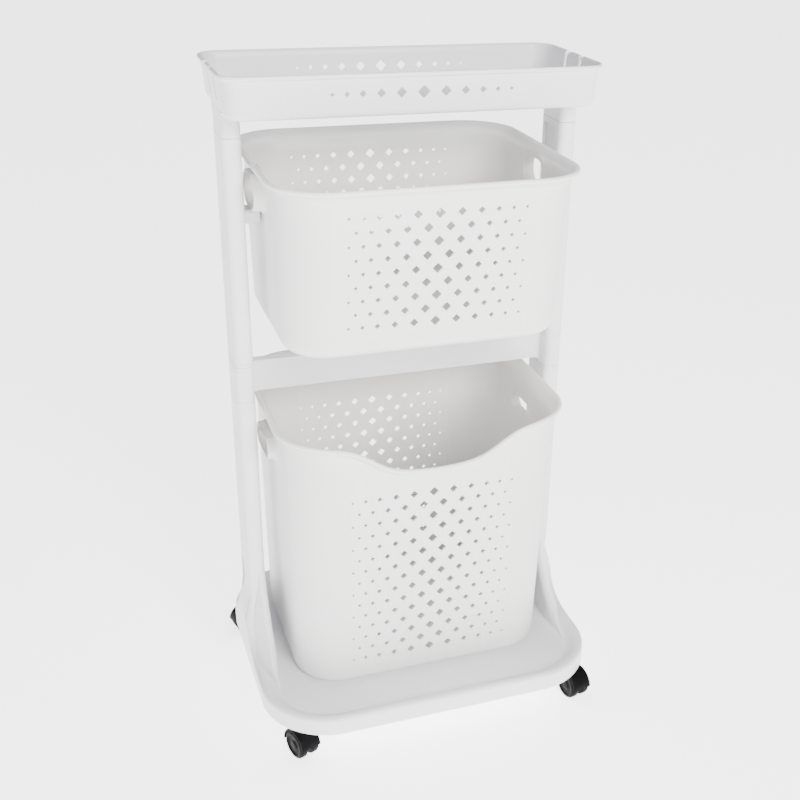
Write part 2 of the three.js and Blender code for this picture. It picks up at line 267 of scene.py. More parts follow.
def basket_shell(spec):
    rows = ring_parameters(48 if spec["scoop"] else 2, 12)
    rings = []

    def wall_ring(level, offset):
        """One ring; `level` gives the height for a row of the outline."""
        ring = []
        for row in rows:
            z = level(row)
            half = basket_half(spec, z)
            radius = spec["rim_radius"] - (spec["rim_half"][0] - half[0]) * 0.4
            ring.append(shell_point(row, BASKET_Y, half, radius, offset, z))
        rings.append(ring)

    def floor_ring(inset, z):
        half = spec["bottom_half"]
        radius = spec["rim_radius"] - (spec["rim_half"][0] - half[0]) * 0.4
        rings.append([shell_point(row, BASKET_Y, half, radius, -inset, z) for row in rows])

    fillet = spec["fillet"]
    for degrees in (90, 75, 60, 45, 30, 15):
        angle = math.radians(degrees)
        floor_ring(fillet * (1 - math.cos(angle)), spec["bottom"] + fillet * (1 - math.sin(angle)))
    wall_ring(lambda row: spec["bottom"] + fillet, 0.0)
    for below, offset in RIM_PROFILE:
        wall_ring(lambda row, b=below: rim_level(spec, row) - b, offset)
    wall_ring(lambda row: spec["bottom"] + fillet, -WALL)
    inner = fillet - WALL
    for degrees in (15, 30, 45, 60, 75, 90):
        angle = math.radians(degrees)
        floor_ring(
            WALL + inner * (1 - math.cos(angle)),
            spec["bottom"] + WALL + inner * (1 - math.sin(angle)))
    return loft(spec["name"], rings)


# Depth along the wall's normal, from outside to inside, and how much the cutter grows there.
CUTTER_PROFILE = [
    (4.0, 2.2), (0.25, 0.75), (0.0, 0.42), (-0.45, 0.0), (-2.1, -0.1), (-2.5, 0.2), (-6.0, 2.0),
]


def diamond_outline(half, soften=0.16):
    """Diamond with slightly rounded corners as (u, v) pairs."""
    points = []
    for quarter in range(4):
        corner = math.radians(90 * quarter)
        cut = half * soften
        centre = half - cut * math.sqrt(2)
        for step in (-45, -15, 15, 45):
            angle = corner + math.radians(step)
            points.append((
                centre * math.cos(corner) + cut * math.cos(angle),
                centre * math.sin(corner) + cut * math.sin(angle),
            ))
    return points


def hole_cutter(name, holes):
    """One mesh of separate diamond plugs; each hole is (centre, across, up, normal, half size)."""
    points, faces = [], []
    for centre, across, up, normal, half in holes:
        start = len(points)
        base_outline = diamond_outline(half)
        count = len(base_outline)
        for depth, grow in CUTTER_PROFILE:
            scale = (half + grow) / half
            for u, v in base_outline:
                points.append(tuple(centre + across * (u * scale) + up * (v * scale) + normal * depth))
        for k in range(len(CUTTER_PROFILE) - 1):
            for j in range(count):
                n = (j + 1) % count
                low, high = start + k * count, start + (k + 1) * count
                faces.append((low + j, high + j, high + n, low + n))
        faces.append(tuple(start + j for j in range(count)))
        last = start + (len(CUTTER_PROFILE) - 1) * count
        faces.append(tuple(reversed([last + j for j in range(count)])))
    return make_object(name, points, faces)


def row_positions(odd):
    """Hole positions along a row: odd rows have one in the middle, even rows sit between them."""
    if odd:
        positions = HOLE_OFFSETS
    else:
        positions = [(a + b) / 2 for a, b in zip(HOLE_OFFSETS, HOLE_OFFSETS[1:])]
    return sorted({side * x for x in positions for side in (-1, 1)})


def graded_half(x, sizes):
    return lerp(sizes[0], sizes[1], abs(x) / HOLE_OFFSETS[-1])


def basket_holes(spec):
    holes = []
    rows = spec["rows"]
    slope = (spec["top_half"][1] - spec["bottom_half"][1]) / (
        spec["rim"] - 12.0 - spec["bottom"] - spec["fillet"])
    lean = math.atan(slope)
    for facing in (-1, 1):
        across = Vector((-facing, 0, 0))
        up = Vector((0, facing * math.sin(lean), math.cos(lean)))
        normal = across.cross(up).normalized()
        if normal.y * facing < 0:
            normal = -normal
        for k in range(rows["count"]):
            z = lerp(rows["top"], rows["bottom"], k / (rows["count"] - 1))
            y = BASKET_Y + facing * basket_half(spec, z)[1]
            for x in row_positions(k % 2 == 0):
                holes.append((Vector((x, y, z)), across, up, normal, graded_half(x, spec["hole_half"])))
    return holes


def grip_outline(grip, grow, steps=10):
    return rounded_outline(
        BASKET_Y, grip["z"], grip["half_length"] + grow, grip["half_height"] + grow,
        grip["half_height"] + grow, steps)


def grip_collar(spec, side):
    """Lip that stands out round the grip opening and runs softly into the wall."""
    wall = basket_half(spec, spec["grip"]["z"])[0]
    reach = spec["grip"]["reach"]
    profile = [
        (-1.2, 8.6), (0.4, 7.8), (1.4, 6.4), (2.8, 5.2), (4.8, 4.5), (reach - 2.0, 4.0), (reach - 1.0, 3.8),
        (reach - 0.3, 3.3), (reach, 2.4),
    ]
    rings = [along_x(grip_outline(spec["grip"], grow), side * (wall + out)) for out, grow in profile]
    return loft("collar", rings)


def grip_cutter(spec, side):
    wall = basket_half(spec, spec["grip"]["z"])[0]
    reach = spec["grip"]["reach"]
    profile = [
        (reach + 3.0, 4.0), (reach + 0.2, 2.0), (reach - 0.3, 1.2), (reach - 1.2, 0.3), (reach - 2.0, 0.0),
        (-1.6, 0.0), (-2.3, 0.4), (-3.2, 1.4), (-8.0, 6.0),
    ]
    rings = [along_x(grip_outline(spec["grip"], grow), side * (wall + out)) for out, grow in profile]
    return loft("grip_cutter", rings)


def build_basket(spec):
    body = basket_shell(spec)
    for side in (-1, 1):
        body = combine(body, grip_collar(spec, side), "UNION")
        body = combine(body, grip_cutter(spec, side), "DIFFERENCE")
    body = combine(body, hole_cutter("holes", basket_holes(spec)), "DIFFERENCE")
    shade(body, 32.0)
    even_normals(body)
    body.name = "moulded_" + spec["name"]
    return body


# Height below the top and inset from the lip for the tray, outside then inside.
TRAY_OUTSIDE = [
    (7.4, 4.1), (6.4, 3.6), (5.6, 2.2), (5.1, 1.0), (4.2, 0.2), (2.8, 0.0), (1.4, 0.3), (0.4, 1.1),
    (0.0, 2.3), (0.3, 3.4), (1.2, 4.5), (3.0, 5.6), (6.0, 6.4), (9.0, 6.8),
]


def tray_shell():
    rows = ring_parameters(2, 12)
    half = (TRAY["half_x"], TRAY["half_y"])

    def ring(inset, z):
        return [shell_point(row, COLUMN_Y, half, TRAY["radius"], -inset, z) for row in rows]

    low, top = TRAY["underside"], TRAY["top"]
    rings = []
    for degrees in (90, 70, 50, 30, 10):
        angle = math.radians(degrees)
        rings.append(ring(8.0 + 7.0 * (1 - math.cos(angle)), low + 7.0 * (1 - math.sin(angle))))
    rings.append(ring(7.6, low + 9.0))
    rings += [ring(inset, top - below) for below, inset in TRAY_OUTSIDE]
    rings.append(ring(10.1, low + 9.5))
    for degrees in (10, 30, 50, 70, 90):
        angle = math.radians(degrees)
        rings.append(ring(10.5 + 4.5 * (1 - math.cos(angle)), low + WALL + 5.0 * (1 - math.sin(angle))))
    return loft("top_tray_shell", rings)


def slit_outline(side_of_tongue):
    """One slit in an end wall, open at the top, with the corner of the tongue rounded off."""
    bottom, top = TRAY["top"] - 38.0, TRAY["top"]
    inner, outer, corner = 18.4, 24.8, 9.0
    middle, half = (inner + outer) / 2, (outer - inner) / 2
    points = [(outer, top + 6.0)]
    for step in range(0, 9):
        angle = math.radians(180.0 * step / 8)
        points.append((middle + half * math.cos(angle), bottom + half - half * math.sin(angle)))
    for step in range(0, 9):
        angle = math.radians(90.0 * step / 8)
        points.append((inner - corner + corner * math.cos(angle), top - corner + corner * math.sin(angle)))
    points.append((inner - corner, top + 6.0))
    return [(COLUMN_Y + side_of_tongue * y, z) for y, z in points]


def column_ring(side, z, grow=0.0, steps=8):
    outline = rounded_outline(
        side * POST["x"], COLUMN_Y, POST["half_x"] + grow, POST["half_y"] + grow,
        POST["radius"] + grow, steps)
    return [(x, y, z) for x, y in outline]


def column_piece(name, side, low, high, foot=0.5, head=0.5, grooves=()):
    """Upright block with the columns' section; `foot` and `head` soften its two ends."""
    levels = [
        (low, -foot), (low + foot * 0.3, -foot * 0.3), (low + foot, 0.0),
        (high - head, 0.0), (high - head * 0.3, -head * 0.3), (high, -head),
    ]
    for z in grooves:
        levels += [(z - 0.7, 0.0), (z - 0.3, -0.6), (z + 0.3, -0.6), (z + 0.7, 0.0)]
    return loft(name, [column_ring(side, z, grow) for z, grow in sorted(levels)], sharp=50.0)


def tray_holes():
    holes = []
    for facing in (-1, 1):
        lean = math.atan(4.0 / 40.0)
        across = Vector((-facing, 0, 0))
        up = Vector((0, facing * math.sin(lean), math.cos(lean)))
        normal = across.cross(up).normalized()
        if normal.y * facing < 0:
            normal = -normal
        y = COLUMN_Y + facing * (TRAY["half_y"] - 5.9)
        for x in row_positions(True):
            place = Vector((x, y, TRAY["hole_z"]))
            holes.append((place, across, up, normal, graded_half(x, TRAY["hole_half"])))
    return holes


def tray_socket(side):
    """Socket under the tray's end, flared softly where it meets the floor."""
    low, high = SEAM["tray"], TRAY["underside"] + 1.5
    levels = [(low, -0.5), (low + 0.2, -0.15), (low + 0.5, 0.0), (high - 14.0, 0.0), (high - 9.0, 0.4),
              (high - 5.0, 1.6), (high - 2.0, 3.4), (high, 5.4)]
    rings = []
    for z, grow in levels:
        ring = []
        for x, y, _ in column_ring(side, z, grow):
            limit = POST["x"] + POST["half_x"] - 0.4 * smooth((z - low) / (high - low))
            ring.append((side * min(abs(x), limit), y, z))
        rings.append(ring)
    return loft("socket", rings)


def socket_cheek(side):
    """Carries the socket's outer face up over the rounded foot of the tray's end wall."""
    outline = rounded_outline(COLUMN_Y, TRAY["underside"] + 0.5, 31.0, 8.0, 3.0, 5)
    outer = POST["x"] + POST["half_x"] - 0.2
    return loft("cheek", [along_x(outline, side * x) for x in (outer - 3.4, outer - 0.6, outer)])


SLIT_REACH = (219.0, 250.0)


def build_tray():
    body = tray_shell()
    for side in (-1, 1):
        body = combine(body, tray_socket(side), "UNION")
        body = combine(body, socket_cheek(side), "UNION")
        for tongue in (-1, 1):
            outline = slit_outline(tongue)
            slit = loft("slit", [along_x(outline, side * x) for x in SLIT_REACH])
            body = combine(body, slit, "DIFFERENCE")
    body = combine(body, hole_cutter("tray_cutter", tray_holes()), "DIFFERENCE")
    shade(body, 32.0)
    even_normals(body)
    body.name = "moulded_top_tray"
    return body


# ---------------------------------------------------------------- posts and middle rail
def recess_cutter(side, low, high):
    """Shallow channel down the inner face of an upper post."""
    face = side * (POST["x"] - POST["half_x"])
    outline = rounded_outline(COLUMN_Y + 2.5, (low + high) / 2, 18.0, (high - low) / 2, 2.0, 3)
    rings = [along_x(outline, face - side * 4.0), along_x(outline, face + side * 4.0)]
    return loft("recess", rings)


def hanger_ledge(side):
    """Bracket on the inner face of an upper post, under the grip collar of the middle basket."""
    top = MIDDLE["grip"]["z"] - MIDDLE["grip"]["half_height"] - 4.3
    outline = rounded_outline(COLUMN_Y, top - 9.0, 14.0, 9.0, 5.0, 5)
    rings = [along_x(outline, side * x) for x in (186.0, 208.0)]
    return loft("ledge", rings)


def build_upper_post(side, label):
    post = column_piece(
        f"moulded_upper_post_{label}", side, SEAM["rail_top"] + SEAM["gap"], SEAM["tray"] - SEAM["gap"],
        grooves=(SEAM["rail_top"] + SEAM["groove"],))
    post = combine(post, recess_cutter(side, SEAM["rail_top"] + 14.0, SEAM["tray"] - 8.0), "DIFFERENCE")
    post = combine(post, hanger_ledge(side), "UNION")
    shade(post, 40.0)
    even_normals(post)
    return post


def build_lower_post(side, label):
    post = column_piece(
        f"moulded_lower_post_{label}", side, SEAM["base"] + 0.05, SEAM["rail_bottom"] - SEAM["gap"],
        foot=0.08)
    even_normals(post)
    return post


def rail_outline():
    """Front outline of the cross panel as (x, z), with a soft corner where it meets each socket."""
    reach, low, high, corner = 207.0, 461.5, 504.2, 9.0
    points = []
    for step in range(7):
        angle = math.radians(90.0 * step / 6)
        points.append((-reach + corner - corner * math.sin(angle), low - corner + corner * math.cos(angle)))
    points = list(reversed(points))
    right = [(-x, z) for x, z in reversed(points)]
    return points + right + [(reach, high), (-reach, high)]


def build_middle_rail():
    outline = rail_outline()
    front, back = COLUMN_Y - 10.0, COLUMN_Y + 4.0
    panel = loft("moulded_middle_rail", [
        [(x, y, z) for x, z in outline] for y in (back, front)
    ][::-1])
    bevel(panel, 1.6, 3, 50.0)
    for side in (-1, 1):
        socket = column_piece(
            "rail_socket", side, SEAM["rail_bottom"], SEAM["rail_top"],
            grooves=(SEAM["rail_top"] - SEAM["groove"],))
        panel = combine(panel, socket, "UNION")
    shade(panel, 40.0)
    even_normals(panel)
    return panel


# ---------------------------------------------------------------- base
WALL_STEPS = 12
ARC_STEPS = 6
INNER_STEPS = 6
RIBBON_STEPS = 6
FRONT_SWEEP = {
    "outer": {"reach": 72.0, "rise": 80.0, "power": 0.8, "from_z": 72.0},
    "inner": {"reach": 115.0, "rise": 136.0, "power": 1.38, "from_z": 60.0},
}
REAR_SWEEP = {
    "outer": {"reach": 50.0, "rise": 62.0, "power": 1.35, "from_z": 72.0},
    "inner": {"reach": 60.0, "rise": 90.0, "power": 1.35, "from_z": 60.0},
}


def sweep_point(sweep, t):
    """(distance out from the column face, height) on a hollow curve from the rim up to the column."""
    angle = math.radians(90.0 * t)
    out = sweep["reach"] * (1.0 - math.sin(angle) ** sweep["power"])
    up = sweep["from_z"] + sweep["rise"] * (1.0 - math.cos(angle) ** sweep["power"])
    return out, up


def inner_x(y):
    """Half width to the inner face at y: the rim's inner edge, or the column's where a wing stands."""
    sweep = (FRONT_SWEEP if y < COLUMN_Y else REAR_SWEEP)["inner"]
    out = abs(y - COLUMN_Y) - POST["half_y"]
    share = min(max(1.0 - out / sweep["reach"], 0.0), 1.0)
    climbed = smooth(share * 1.8)
    return lerp(side_x(y, BASE["rim_width"]), POST["x"] - POST["half_x"], climbed)


def shoulder(z):
    """How far the outer wall of a wing steps in from the side of the base towards the column."""
    return 10.0 * smooth((z - 108.0) / 50.0)


def side_x(y, inset):
    """Half width of the base's plan at y, moved in by inset."""
    rear_start = BASE["rear"] - BASE["rear_radius"]
    front_end = BASE["front"] + BASE["front_radius"]
    if y > rear_start:
        radius = BASE["rear_radius"] - inset
        run = min(y - rear_start, radius * 0.9999)
        return BASE["half_x"] - BASE["rear_radius"] + math.sqrt(radius * radius - run * run)
    if y < front_end:
        radius = BASE["front_radius"] - inset
        run = min(front_end - y, radius * 0.9999)
        return BASE["half_x"] - BASE["front_radius"] + math.sqrt(radius * radius - run * run)
    return BASE["half_x"] - inset


def corner_stop(centre, radius, degrees):
    angle = math.radians(degrees)
    return centre[0] + radius * math.cos(angle), centre[1] + radius * math.sin(angle)


def arc_degrees(run, radius):
    """Angle at which a corner arc has run this far along Y from its centre."""
    return math.degrees(math.asin(min(max(run / radius, -1.0), 1.0)))


def base_stations(shell):
    """Stations round the right half of the base, front to rear. `shell` moves every surface inward.

    A station is (outer edge, outward, normal, outer radius, inner edge, inner radius).
    """
    width = BASE["rim_width"]
    rim, floor = BASE["rim"] - shell, BASE["floor"] - shell
    up = Vector((0, 0, 1))
    stations = []

    def rim_station(outer, inner, outward):
        stations.append((
            Vector((outer[0], outer[1], rim)), Vector((outward[0], outward[1], 0)), up, 6.0 - shell * 0.6,
            Vector((inner[0], inner[1], floor)), 0.3))

    for i in range(8):
        x = (BASE["half_x"] - BASE["front_radius"]) * i / 8
        rim_station((x, BASE["front"] + shell), (x, BASE["front"] + width - shell), (0, -1))
    front_face, rear_face = COLUMN_Y - POST["half_y"], COLUMN_Y + POST["half_y"]
    centre = (BASE["half_x"] - BASE["front_radius"], BASE["front"] + BASE["front_radius"])
    ends = [
        arc_degrees(front_face - FRONT_SWEEP[which]["reach"] - centre[1], BASE["front_radius"] - inset)
        for which, inset in (("outer", 0.0), ("inner", width))]
    for i in range(13):
        outer_degrees, inner_degrees = (lerp(-90.0, min(end, 0.0), i / 12) for end in ends)
        rim_station(
            corner_stop(centre, BASE["front_radius"] - shell, outer_degrees),
            corner_stop(centre, BASE["front_radius"] - width + shell, inner_degrees),
            corner_stop((0, 0), 1, outer_degrees))

    steps = 26

    def wing_station(t, sweep, face, direction):
        previous, following = max(t - 0.01, 0.0), min(t + 0.01, 1.0)
        edge = {}
        for which in ("outer", "inner"):
            out, z = sweep_point(sweep[which], t)
            edge[which] = (face + direction * out, z)
        a, b = sweep_point(sweep["outer"], previous), sweep_point(sweep["outer"], following)
        tangent = Vector((0, -direction * (a[0] - b[0]), b[1] - a[1])).normalized()
        normal = Vector((0, direction * tangent.z, abs(tangent.y))).normalized()
        climbed = smooth((edge["inner"][1] - BASE["floor"]) / 60.0)
        outer_y, outer_z = edge["outer"]
        inner_y, inner_z = edge["inner"]
        outer_x = side_x(outer_y, 0) - shoulder(outer_z) - shell
        outer_radius = lerp(6.0, POST["radius"], climbed) - shell * 0.6
        inner_radius = max(min(POST["radius"], (inner_z - BASE["floor"]) * 0.5) - shell * 0.6, 0.3)
        drop = normal * shell
        stations.append((
            Vector((outer_x, outer_y, outer_z)) - drop, Vector((1, 0, 0)), normal, outer_radius,
            Vector((inner_x(inner_y) + shell, inner_y - drop.y, max(inner_z - shell, floor))),
            inner_radius))

    for i in range(steps + 1):
        wing_station(i / steps, FRONT_SWEEP, front_face, -1)
    top = SEAM["base"] - shell
    forward, backward = Vector((0, -1, 0)), Vector((0, 1, 0))
    outer_x = POST["x"] + POST["half_x"] - shell
    column_x = POST["x"] - POST["half_x"] + shell
    radius = POST["radius"] - shell * 0.6

    def upright_station(sweep, share, y, normal):
        """Station on a face of the column, `share` of the way from the top of the sweep to the seam."""
        crests = (sweep[which]["from_z"] + sweep[which]["rise"] for which in ("outer", "inner"))
        outer_z, inner_z = (lerp(crest, SEAM["base"], share) - shell for crest in crests)
        stations.append((
            Vector((outer_x, y, outer_z)), Vector((1, 0, 0)), normal, radius,
            Vector((column_x, y, inner_z)), radius))

    for share in (1 / 3, 2 / 3, 1):
        upright_station(FRONT_SWEEP, share, front_face + shell, forward)
    reach = POST["half_y"] - POST["radius"]
    for i in range(5):
        y = COLUMN_Y + lerp(-reach, reach, i / 4)
        stations.append((
            Vector((outer_x, y, top)), Vector((1, 0, 0)), up, 0.02, Vector((column_x, y, top)), 0.02))
    for share in (1, 2 / 3, 1 / 3):
        upright_station(REAR_SWEEP, share, rear_face - shell, backward)
    for i in range(steps, -1, -1):
        wing_station(i / steps, REAR_SWEEP, rear_face, 1)

    centre = (BASE["half_x"] - BASE["rear_radius"], BASE["rear"] - BASE["rear_radius"])
    starts = [
        arc_degrees(rear_face + REAR_SWEEP[which]["reach"] - centre[1], BASE["rear_radius"] - inset)
        for which, inset in (("outer", 0.0), ("inner", width))]
    for i in range(1, 13):
        outer_degrees, inner_degrees = (lerp(max(start, 0.0), 90.0, i / 12) for start in starts)
        rim_station(
            corner_stop(centre, BASE["rear_radius"] - shell, outer_degrees),
            corner_stop(centre, BASE["rear_radius"] - width + shell, inner_degrees),
            corner_stop((0, 0), 1, outer_degrees))
    for i in range(1, 5):
        x = centre[0] * (1 - i / 5)
        rim_station((x, BASE["rear"] - shell), (x, BASE["rear"] - width + shell), (0, 1))
    return stations


def spread(points):
    """Heights count little, so points below a steep stretch share out the run along the base."""
    total = [0.0]
    for a, b in zip(points, points[1:]):
        flat = math.hypot(b.x - a.x, b.y - a.y)
        total.append(total[-1] + flat + 0.18 * abs(b.z - a.z))
    return total


def foot_points(points, first, last, z, inset):
    """Points on the plan outline under the wing's edge between two stations, evenly shared."""
    run = spread(points[first:last + 1])
    y0, y1 = points[first].y, points[last].y
    feet = {}
    for k, distance in enumerate(run):
        y = lerp(y0, y1, distance / run[-1])
        feet[first + k] = Vector((side_x(y, inset), y, z))
    return feet


def base_loops(shell):
    """One column of points per station, from the skirt's lower edge over the rim to the floor."""
    stations = base_stations(shell)
    wing = [k for k, s in enumerate(stations) if s[0].z > BASE["rim"] - shell + 0.01]
    first, last = wing[0] - 1, wing[-1] + 1
    outer_feet = foot_points([s[0] for s in stations], first, last, BASE["bottom"], shell)
    floor = BASE["floor"] - shell
    inner_edge = [s[4] for s in stations]
    inner_run = spread(inner_edge[first:last + 1])
    quarter = [
        (math.cos(angle), math.sin(angle))
        for angle in (math.radians(90.0 * i / ARC_STEPS) for i in range(ARC_STEPS + 1))]
    columns = []
    for k, (outer, outward, normal, outer_r, inner, inner_r) in enumerate(stations):
        foot = outer_feet.get(k, Vector((outer.x, outer.y, BASE["bottom"])))
        column = []
        wall_top = outer - normal * outer_r
        for i in range(WALL_STEPS):
            point = foot.lerp(wall_top, i / WALL_STEPS)
            if k in outer_feet:
                point.x = side_x(point.y, 0) - shoulder(point.z) - shell
            column.append(point)
        centre = outer - outward * outer_r - normal * outer_r
        for c, s in quarter:
            column.append(centre + outward * (outer_r * c) + normal * (outer_r * s))
        start = column[-1]
        finish = inner + outward * inner_r
        for i in range(1, RIBBON_STEPS):
            point = start.lerp(finish, i / RIBBON_STEPS)
            eased = lerp(start.z, finish.z, smooth(i / RIBBON_STEPS))
            point.z = lerp(eased, point.z, smooth((inner.z - floor) / 50.0))
            column.append(point)
        centre = inner + outward * inner_r - normal * inner_r
        for c, s in quarter:
            column.append(centre + normal * (inner_r * c) - outward * (inner_r * s))
        wall_low = column[-1]
        if first <= k <= last:
            share = inner_run[k - first] / inner_run[-1]
            y = lerp(inner_edge[first].y, inner_edge[last].y, share)
            foot_in = Vector((inner_x(y) + shell, y, floor))
        else:
            foot_in = inner - outward * 0.3
            foot_in.z = floor
        for i in range(1, INNER_STEPS):
            point = wall_low.lerp(foot_in, i / INNER_STEPS)
            if first <= k <= last:
                point.x = inner_x(point.y) + shell
            column.append(point)
        column.append(foot_in)
        column.append(foot_in - outward * 4.0)
        columns.append(column)
    return columns


def upright_ring(x, y, radius, z, steps):
    """Level circle round a point."""
    angles = [2 * math.pi * i / steps for i in range(steps)]
    return [(x + radius * math.cos(a), y + radius * math.sin(a), z) for a in angles]


def mirror(columns):
    """The left half from the right one, leaving out the stations on the centre line."""
    return [[Vector((-p.x, p.y, p.z)) for p in column] for column in reversed(columns[1:])]


def build_base():
    upper = base_loops(0.0)
    lower = base_loops(BASE["wall"])
    around_upper = upper + mirror(upper)
    around_lower = lower + mirror(lower)
    count = len(around_upper)
    depth = len(around_upper[0])
    # Rings run from the floor underneath, out to the skirt's lower edge, up and over to the floor on top.
    rings = [[around_lower[j][k] for j in range(count)] for k in reversed(range(depth))]
    rings += [[around_upper[j][k] for j in range(count)] for k in range(depth)]
    body = loft("moulded_base_tray", rings, sharp=38.0)
    bosses = []
    for x, y, _ in CASTERS.values():
        levels = (BASE["bottom"] + 0.3, BASE["underside"] + 1.0)
        bosses.append(loft("boss", [upright_ring(x, y, BOSS_RADIUS, z, 36) for z in levels]))
    joined = join("moulded_base_tray", [body, *bosses])
    shade(joined, 38.0)
    even_normals(joined)
    return joined


# ---------------------------------------------------------------- casters
def place_caster(obj, caster):
    """From the caster's own frame (swivel on Z, axle along X, trailing to -Y) to its place."""
    x, y, degrees = caster
    turn = Matrix.Translation((x * MM, y * MM, 0)) @ Matrix.Rotation(math.radians(degrees), 4, "Z")
    obj.data.transform(turn)
    obj.data.update()
    return obj


def disc_ring(x, radius, steps=64):
    return [
        (x, -WHEEL["trail"] + radius * math.cos(2 * math.pi * i / steps),
         WHEEL["radius"] + radius * math.sin(2 * math.pi * i / steps)) for i in range(steps)]


def wheel_mesh(name, side):
    """Tread with rounded shoulders, a dished side face with a raised hub."""
    low, high, r = WHEEL["inner"], WHEEL["outer"], WHEEL["radius"]
    profile = [
        (low, 3.0), (low, r - 2.0), (low + 0.3, r - 1.0), (low + 1.0, r - 0.3), (low + 2.0, r),
        (high - 3.2, r), (high - 2.0, r - 0.3), (high - 1.0, r - 1.0), (high - 0.3, r - 2.0),
        (high, r - 3.2), (high, r - 4.8), (high - 0.3, r - 5.3), (high - 1.3, r - 5.9),
        (high - 1.6, r - 6.6), (high - 1.6, 7.0), (high - 1.4, 6.4), (high - 0.5, 5.9),
        (high - 0.2, 5.2), (high - 0.2, 0.4),
    ]
    rings = [disc_ring(side * x, radius) for x, radius in profile]
    return loft(name, rings, sharp=30.0)


def hood_ring(angle, outer, inner, half):
    """Section across the hood's band at an angle round the axle, rounded at its outer edges."""
    edge = 1.6
    section = [(-half, inner), (-half, outer - edge)]
    for i in range(1, 5):
        a = math.radians(90.0 * i / 4)
        section.append((-half + edge - edge * math.cos(a), outer - edge + edge * math.sin(a)))
    section += [(-x, radius) for x, radius in reversed(section)]
    return [
        (x, -WHEEL["trail"] + radius * math.cos(angle), WHEEL["radius"] + radius * math.sin(angle))
        for x, radius in section]


def hood_mesh(name):
    half, outer = WHEEL["outer"], WHEEL["hood"]
    angles = [math.radians(lerp(-4.0, 172.0, i / 40)) for i in range(41)]
    band = loft("band", [hood_ring(a, outer, WHEEL["radius"] + 1.3, half) for a in angles])
    hub = [math.radians(lerp(180.0, 350.0, i / 12)) for i in range(13)]
    web_outline = [
        (-WHEEL["trail"] + radius * math.cos(a), WHEEL["radius"] + radius * math.sin(a))
        for radius, arc in ((outer - 1.0, angles), (9.0, hub)) for a in arc]
    web = loft("web", [along_x(web_outline, -2.9), along_x(web_outline, 2.9)])
    neck_levels = [
        (29.0, 6.0), (34.0, 7.5), (39.0, 8.6), (43.0, 9.0), (44.6, 9.0), (45.1, 8.7), (45.4, 8.0),
    ]
    neck = loft("neck", [upright_ring(0.0, 0.0, radius, z, 40) for z, radius in neck_levels])
    hood = combine(band, web, "UNION")
    hood = combine(hood, neck, "UNION")
    for side in (-1, 1):
        rings = [disc_ring(side * x, WHEEL["radius"] + 1.2) for x in (2.9, WHEEL["outer"] + 4.0)]
        hood = combine(hood, loft("well", rings), "DIFFERENCE")
    hood.name = name
    shade(hood, 35.0)
    return hood


# ---------------------------------------------------------------- materials
class Graph:
    """A material's node tree, with short ways to add and link its nodes."""

    def __init__(self, name):
        self.material = bpy.data.materials.new(name)
        self.material.use_nodes = True
        self.tree = self.material.node_tree
        self.shader = self.tree.nodes["Principled BSDF"]
        self.coordinates = self.add("ShaderNodeTexCoord").outputs["Object"]

    def add(self, kind, **inputs):
        node = self.tree.nodes.new(kind)
        for name, value in inputs.items():
            node.inputs[name.replace("_", " ")].default_value = value
        return node

    def link(self, output, target):
        self.tree.links.new(output, target)

    def noise(self, scale, detail=3.0, roughness=0.5, stretch=(1, 1, 1), offset=(0, 0, 0)):
        mapping = self.add("ShaderNodeMapping")
        mapping.inputs["Scale"].default_value = stretch
        mapping.inputs["Location"].default_value = offset
        self.link(self.coordinates, mapping.inputs["Vector"])
        noise = self.add("ShaderNodeTexNoise", Scale=scale, Detail=detail, Roughness=roughness)
        self.link(mapping.outputs["Vector"], noise.inputs["Vector"])
        return noise.outputs["Fac"]

    def remap(self, value, low, high, to_low, to_high):
        node = self.add("ShaderNodeMapRange")
        limits = {"From Min": low, "From Max": high, "To Min": to_low, "To Max": to_high}
        for name, number in limits.items():
            node.inputs[name].default_value = number
        self.link(value, node.inputs["Value"])
        return node.outputs["Result"]

    def mix_colour(self, factor, first, second):
        node = self.add("ShaderNodeMix")
        node.data_type = "RGBA"
        self.link(factor, node.inputs["Factor"])
        for socket, value in ((node.inputs[6], first), (node.inputs[7], second)):
            if isinstance(value, tuple):
                socket.default_value = value
            else:
                self.link(value, socket)
        return node.outputs[2]

    def bump(self, height, strength, distance, below=None):
        node = self.add("ShaderNodeBump", Strength=strength, Distance=distance)
        self.link(height, node.inputs["Height"])
        if below is not None:
            self.link(below, node.inputs["Normal"])
        return node.outputs["Normal"]


def shade_of(colour, factor):
    return (*(min(channel * factor, 1.0) for channel in colour), 1.0)


